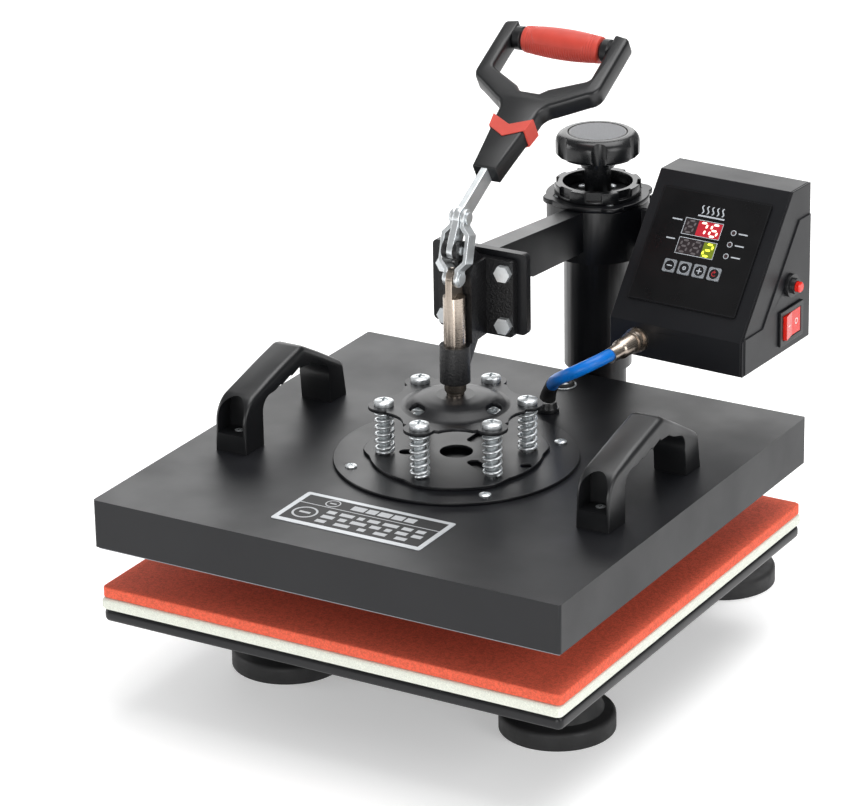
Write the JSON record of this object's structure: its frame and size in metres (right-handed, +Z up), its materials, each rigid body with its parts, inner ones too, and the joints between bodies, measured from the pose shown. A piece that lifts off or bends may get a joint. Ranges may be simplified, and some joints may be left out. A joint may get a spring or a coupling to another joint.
{
  "type": "heat press",
  "caption": "Swing-away heat press: square heated platen on a toggle plunger and arm over a padded bed, with a side control box.",
  "frame": {"origin": "on the floor, under the middle of the machine's overall width and depth", "axes": "+Z up, -Y towards the user, +X to the user's right, where the control box is"},
  "size_m": [0.38, 0.46, 0.445],
  "materials": {
    "powder_coat": "fine-texture black powder coat on steel",
    "cast_black": "sand-cast, painted black",
    "zinc": "bright zinc plate",
    "nickel": "satin nickel plate",
    "bronze": "turned bronze",
    "black_plastic": "moulded, fine satin grain",
    "orange_rubber": "moulded, ribbed",
    "orange_plastic": "moulded, satin",
    "foot_rubber": "moulded black",
    "silicone_sponge": "fine-pored sponge sheet",
    "felt": "needled felt",
    "cast_aluminium": "machined face",
    "ceramic_wool": "compressed fibre blanket",
    "label_foil": "printed foil",
    "panel_film": "smooth polyester film",
    "display_plastic": "tinted filter",
    "board": "solder-masked board",
    "key_plastic": "moulded, satin",
    "red_plastic": "moulded, glossy",
    "blue_sleeve": "silicone sleeving"
  },
  "bodies": {
    "base": {"base_frame": "powder_coat", "rear_post": "powder_coat", "rubber_feet": "foot_rubber", "base_fasteners": "zinc", "bed_plate": "powder_coat", "felt_pad": "felt", "silicone_pad": "silicone_sponge"},
    "swivel": {"thrust_bush": "bronze"},
    "head": {"head_sleeve": "powder_coat", "swing_arm": "powder_coat", "sleeve_top_plate": "powder_coat", "top_plate_bolts": "zinc", "plunger_bracket": "cast_black", "bracket_bolts": "zinc", "pivot_pin": "zinc", "box_bracket": "powder_coat", "control_housing": "powder_coat", "side_cover": "powder_coat", "front_panel": "panel_film", "display_module": "display_plastic", "circuit_board": "board", "breaker_body": "black_plastic", "rocker_frame": "black_plastic", "power_inlet": "black_plastic", "cable_socket": "nickel", "cable_plug": "nickel", "heater_cable": "blue_sleeve"},
    "lock_ring": {"lock_ring": "black_plastic"},
    "knob": {"pressure_knob": "black_plastic", "knob_cap": "black_plastic", "pressure_screw": "zinc"},
    "handle": {"handle_bar": "zinc", "handle_body": "black_plastic", "grip_sleeve": "orange_rubber", "chevron_band": "orange_plastic", "crank_pin": "zinc"},
    "links": {"link_left": "zinc", "link_right": "zinc", "slider_pin": "zinc"},
    "plunger": {"plunger_rod": "nickel", "plunger_nut": "zinc", "spider_plate": "powder_coat", "suspension_springs": "zinc"},
    "platen": {"suspension_screws": "zinc", "mounting_plate": "powder_coat", "flange_disc": "powder_coat", "platen_screws": "zinc", "platen_cover": "powder_coat", "heat_plate": "cast_aluminium", "insulation_mat": "ceramic_wool", "side_handle_left": "black_plastic", "side_handle_right": "black_plastic", "rating_label": "label_foil", "cable_gland": "black_plastic"},
    "minus_key": {"minus_key": "key_plastic"},
    "set_key": {"set_key": "key_plastic"},
    "plus_key": {"plus_key": "key_plastic"},
    "stop_key": {"stop_key": "key_plastic"},
    "breaker_button": {"breaker_button": "red_plastic"},
    "rocker_switch": {"rocker_switch": "red_plastic"}
  },
  "joints": [
    {"name": "head_swing", "type": "hinge", "parent": "base", "child": "swivel", "pos_m": [0, 0.178, 0.28], "axis": [0, 0, 1], "continuous": true},
    {"name": "head_lift", "type": "slide", "parent": "swivel", "child": "head", "axis": [0, 0, 1], "range_m": [0, 0.01]},
    {"name": "knob_turn", "type": "hinge", "parent": "head", "child": "knob", "pos_m": [0, 0.178, 0.315], "axis": [0, 0, 1], "range_deg": [0, 2058]},
    {"name": "lock_ring_turn", "type": "hinge", "parent": "head", "child": "lock_ring", "pos_m": [0, 0.178, 0.305], "axis": [0, 0, 1], "range_deg": [0, 90]},
    {"name": "handle_swing", "type": "hinge", "parent": "head", "child": "handle", "pos_m": [0, -0.04, 0.3257], "axis": [1, 0, 0], "range_deg": [0, 149.5]},
    {"name": "link_swing", "type": "hinge", "parent": "handle", "child": "links", "pos_m": [0, -0.02873, 0.34689], "axis": [1, 0, 0], "range_deg": [-107.45, 1]},
    {"name": "plunger_slide", "type": "slide", "parent": "head", "child": "plunger", "axis": [0, 0, -1], "range_m": [0, 0.03016], "deforming": ["heater_cable"]},
    {"name": "platen_float", "type": "slide", "parent": "plunger", "child": "platen", "axis": [0, 0, 1], "range_m": [0, 0.008], "stiffness_N_per_m": 30000, "springref_m": -0.008, "deforming": ["suspension_springs", "heater_cable"]},
    {"name": "minus_key_press", "type": "slide", "parent": "head", "child": "minus_key", "axis": [0.0384, 0.7854, -0.6177], "range_m": [0, 0.0008], "stiffness_N_per_m": 800, "springref_m": -0.0005},
    {"name": "set_key_press", "type": "slide", "parent": "head", "child": "set_key", "axis": [0.0384, 0.7854, -0.6177], "range_m": [0, 0.0008], "stiffness_N_per_m": 800, "springref_m": -0.0005},
    {"name": "plus_key_press", "type": "slide", "parent": "head", "child": "plus_key", "axis": [0.0384, 0.7854, -0.6177], "range_m": [0, 0.0008], "stiffness_N_per_m": 800, "springref_m": -0.0005},
    {"name": "stop_key_press", "type": "slide", "parent": "head", "child": "stop_key", "axis": [0.0384, 0.7854, -0.6177], "range_m": [0, 0.0008], "stiffness_N_per_m": 800, "springref_m": -0.0005},
    {"name": "breaker_press", "type": "slide", "parent": "head", "child": "breaker_button", "axis": [-0.9988, 0.0489, 0], "range_m": [0, 0.0025], "stiffness_N_per_m": 900, "springref_m": -0.0005},
    {"name": "rocker_tilt", "type": "hinge", "parent": "head", "child": "rocker_switch", "pos_m": [0.17406, 0.149, 0.2375], "axis": [0, 0, 1], "range_deg": [-12, 0]}
  ],
  "couplings": [
    {"joint": "knob_turn", "follows": "head_lift", "rad_per_m": 3590.4},
    {"joint": "plunger_slide", "follows": "handle_swing", "m_per_rad": 0.011555},
    {"joint": "link_swing", "follows": "handle_swing", "ratio": -0.71537}
  ]
}
